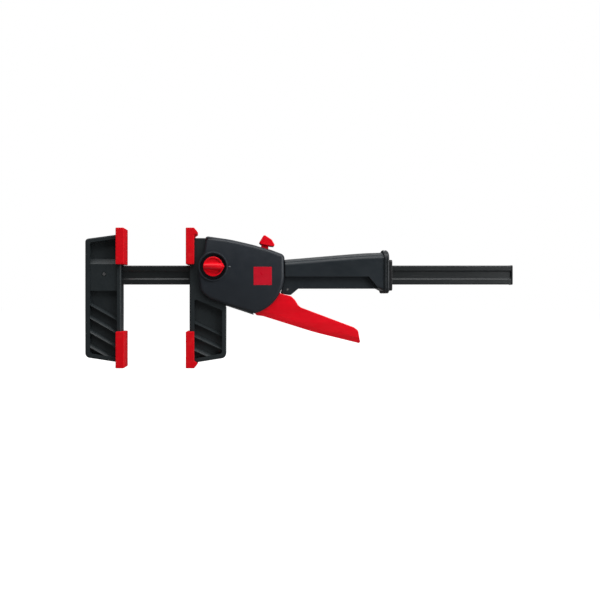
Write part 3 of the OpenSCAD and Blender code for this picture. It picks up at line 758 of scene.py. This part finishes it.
def release_button():
    head = slab("release_button_moulding", BUTTON, -7.5, 7.5, PIVOT, r=1.0, steps=6)
    add(head, slab("neck", rect(18.6, 18, 25.8, 32, 0.6), -5, 5, PIVOT))
    hinge = joint_place("release_tilt")
    lean = math.radians(4)
    plates = [(x * math.cos(lean) + z * math.sin(lean) + hinge[0],
               z * math.cos(lean) - x * math.sin(lean) + hinge[1], 0)
              for x, z in ((-2.6, -1), (2.6, -1), (2.6, 41), (-2.6, 41))]
    cut(head, slab("plate_seat", plates, -9, 9, PIVOT))
    top, toe = Vector((21.3, 41.4)), Vector((29.2, 36.2))
    run = (toe - top).normalized()
    out = Vector((-run.y, run.x))
    for k in (1.6, 3.4, 5.2, 7.0):
        at = top + run * k + out * 0.35
        groove = bar("thumb_groove", [(-6, -0.35, 0), (6, -0.35, 0), (6, 0.35, 0), (-6, 0.35, 0)], -0.4, 0.4,
                     place(at.x, 0, at.y, PIVOT))
        cut(head, groove)
    finish_piece(head, "brake", RED_PLASTIC, ["release_button"], bevel=0.25)


# ---- Selector knob ----

def selector_knob():
    """Dished disc with a raised rim, a grip bar across it and a pointer at one end."""
    x0, z0 = KNOB
    back = -KNOB_FLOOR - 0.2
    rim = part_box("selector_knob")[0][1] / MM + 4
    grip_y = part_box("selector_knob")[0][1] / MM
    radius, tip = 10, 11.6
    arc = math.radians(30)
    turn = [arc + (2 * math.pi - 2 * arc) * i / 60 for i in range(61)]
    outline = [(x0 + radius * math.cos(t), z0 + radius * math.sin(t), 0) for t in turn]
    outline += [(x0 + tip, z0, 0.8)]
    disc = slab("selector_knob_moulding", outline, rim, back, PIVOT, r=0.5, steps=4)
    dish = slab("dish", [(x0 + (p[0] - x0) * 0.86, z0 + (p[1] - z0) * 0.86, p[2]) for p in outline],
                rim - 1, rim + 1.1, PIVOT, steps=4)
    cut(disc, dish)
    steps = 18
    rings = []
    for i in range(steps + 1):
        s = -1 + 2 * i / steps
        x = x0 + 0.95 + s * 10.3
        half = 2.9 * (1 - 0.10 * s * s)
        if s > 0.75:
            half *= min(1, max(0.12, (1 - s) / 0.25))
        crest = grip_y + 1.9 * s * s
        rings.append([place(x, y, z0 + z, PIVOT) for y, z in
                      ((back, -half - 1.3), (rim + 1.0, -half - 1.1), (crest + 1.6, -half),
                       (crest + 0.5, -half * 0.72), (crest, -half * 0.3), (crest, half * 0.3),
                       (crest + 0.5, half * 0.72), (crest + 1.6, half),
                       (rim + 1.0, half + 1.1), (back, half + 1.3))])
    add(disc, loft("grip", rings))
    keep_inside(disc, slab("trim", outline, -30, 0, PIVOT, steps=4))
    cut(disc, drum("shaft_bore", KNOB, -17, 0, 3, PIVOT, sides=40))
    finish_piece(disc, "selector", RED_PLASTIC, ["selector_knob"], bevel=0.22, smooth=34)


# ---- Rail end cap ----

def end_cap():
    low, high = [(Vector(c) - RAIL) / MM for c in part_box("rail_end_cap")]
    rail_high = (Vector(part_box("rail")[1]) - RAIL) / MM
    half = high.y
    outline = [(half, low.z, 1.6), (half, high.z, 1.6), (-half, high.z, 1.6), (-half, low.z, 1.6)]
    cap = bar("end_cap_moulding", outline, rail_high.x, high.x, RAIL, r=0.6)
    plug_y, plug_z = rail_high.y - 3.4, rail_high.z - 2
    add(cap, block("plug", (low.x, -plug_y, -plug_z), (rail_high.x + 0.6, plug_y, plug_z), RAIL))
    dimple = bar("dimple", [(2.2, -6, 2), (2.2, 6, 2), (-2.2, 6, 2), (-2.2, -6, 2)],
                 high.x - 0.3, high.x + 1, RAIL)
    cut(cap, dimple)
    finish_piece(cap, "fixed_arm", GUIDE_PLASTIC, ["rail_end_cap"], bevel=0.15)


# ---- Frame nodes that stay, with their finishes ----

KEPT = {
    "rail": RAIL_STEEL,
    "fixed_jaw_pin": BRIGHT_STEEL, "handle_pin": BRIGHT_STEEL, "lever_pivot_pins": BRIGHT_STEEL,
    "lever_drive_pins": HARD_STEEL, "clamp_drive_plate": HARD_STEEL, "spread_drive_plate": HARD_STEEL,
    "brake_plates": HARD_STEEL, "selector_shaft": HARD_STEEL, "shift_slider": HARD_STEEL,
    "middle_guide": HARD_STEEL,
    "clamp_plate_spring": SPRING_STEEL, "spread_plate_spring": SPRING_STEEL, "brake_spring": SPRING_STEEL,
    "cover_screws": SCREW_STEEL, "handle_screws": SCREW_STEEL,
    "front_rail_guide": GUIDE_PLASTIC,
}


def finish_kept_nodes():
    for node, material in KEPT.items():
        obj = frame["nodes"][node]
        for slot in obj.material_slots:
            slot.material = material
        if not obj.material_slots:
            obj.data.materials.append(material)


# ---- Camera, lights and floor ----

def camera():
    """Square to the housing's face, on the line through the moving jaw."""
    data = bpy.data.cameras.new("camera")
    data.sensor_width = 36
    data.lens = 48.3
    data.shift_x = 0.1
    data.shift_y = -0.003
    obj = bpy.data.objects.new("camera", data)
    obj.location = (0.1177, -0.83, 0.0525)
    obj.rotation_euler = (math.pi / 2, 0, 0)
    bpy.context.scene.collection.objects.link(obj)
    bpy.context.scene.camera = obj


def softbox(name, at, aim, width, height, watts, colour=(1, 1, 1)):
    data = bpy.data.lights.new(name, "AREA")
    data.shape = "RECTANGLE"
    data.size = width
    data.size_y = height
    data.energy = watts
    data.color = colour
    obj = bpy.data.objects.new(name, data)
    obj.location = at
    obj.rotation_euler = (Vector(aim) - Vector(at)).to_track_quat("-Z", "Y").to_euler()
    bpy.context.scene.collection.objects.link(obj)


def studio():
    low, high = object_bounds()
    middle = (low + high) / 2
    softbox("top_softbox", (middle.x, -0.35, 0.95), middle, 1.5, 0.8, 16)
    softbox("right_softbox", (0.95, -0.45, 0.25), middle, 0.6, 0.8, 9)
    softbox("back_rim", (0.1, 0.9, 0.8), middle, 1.2, 0.5, 2)

    world = bpy.data.worlds.new("studio")
    world.use_nodes = True
    nodes, links = world.node_tree.nodes, world.node_tree.links
    background = nodes["Background"]
    seen = nodes.new("ShaderNodeLightPath").outputs["Is Camera Ray"]
    level = nodes.new("ShaderNodeMapRange")
    level.inputs["To Min"].default_value = 0.035
    level.inputs["To Max"].default_value = 1.0
    links.new(seen, level.inputs["Value"])
    links.new(level.outputs["Result"], background.inputs["Strength"])
    background.inputs["Color"].default_value = (1, 1, 1, 1)
    bpy.context.scene.world = world
    bpy.context.scene.view_settings.view_transform = "Standard"


def floor():
    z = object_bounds()[0].z - 0.0002
    rings, sides = (0.0, 0.6, 1.6, 4.0), 64
    verts = [Vector((0.2, 0, z))]
    faces = []
    for r in rings[1:]:
        turns = [2 * math.pi * i / sides for i in range(sides)]
        verts += [Vector((0.2 + r * math.cos(a), r * math.sin(a), z)) for a in turns]
    for i in range(sides):
        faces.append((0, 1 + i, 1 + (i + 1) % sides))
    for k in range(len(rings) - 2):
        for i in range(sides):
            a, b = 1 + k * sides, 1 + (k + 1) * sides
            j = (i + 1) % sides
            faces.append((a + i, b + i, b + j, a + j))
    obj = mesh_object("floor", verts, faces)
    look = Look("floor_paper", (0.25, 0.25, 0.25), 0.8, Specular_IOR_Level=0.2)
    look.relief(look.noise(2, 3), 0.02, 0.2)
    look.shader.inputs["Emission Color"].default_value = (1, 1, 1, 1)
    seen = look.nodes.new("ShaderNodeLightPath").outputs["Is Camera Ray"]
    look.links.new(look.remap(seen, 0, 1, 0.03, 1.0), look.shader.inputs["Emission Strength"])
    obj.data.materials.append(look.material)
    obj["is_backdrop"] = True


camera()
fixed_jaw()
fixed_pads()
moving_jaw()
moving_pads()
cover(-1, "front_cover_moulding", "front_cover")
cover(1, "rear_cover_moulding", "rear_cover")
label_and_mark()
handle_shells()
collar()
bush()
lever()
release_button()
selector_knob()
end_cap()
finish_kept_nodes()
studio()
floor()
